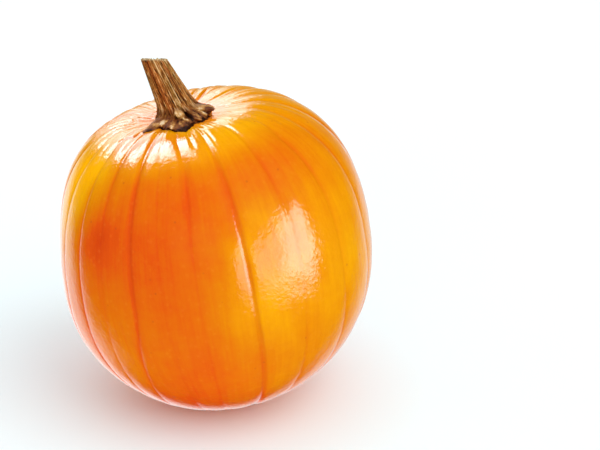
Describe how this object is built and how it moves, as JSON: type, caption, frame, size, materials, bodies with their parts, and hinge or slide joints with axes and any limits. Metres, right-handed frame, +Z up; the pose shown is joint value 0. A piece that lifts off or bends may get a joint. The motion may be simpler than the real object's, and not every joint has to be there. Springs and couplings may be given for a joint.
{
  "type": "pumpkin",
  "caption": "Ripe round orange pumpkin with shallow furrows and a dried ridged stem, leaning a little on the flat spot under it.",
  "frame": {"origin": "on the surface that the pumpkin stands on, under the middle of its bounding box", "axes": "+Z up, the stem leaning towards -X, and +Y pointing to the back"},
  "size_m": [0.2394, 0.2436, 0.2736],
  "materials": {
    "rind": "waxy glossy orange rind, redder in front and yellower at the right and round the stem",
    "dried_stem": "dry, fibrous and ridged, tan on the ridges and dark brown between them and at the foot"
  },
  "bodies": {
    "root": {"fruit": "rind", "stem": "dried_stem"}
  },
  "joints": []
}
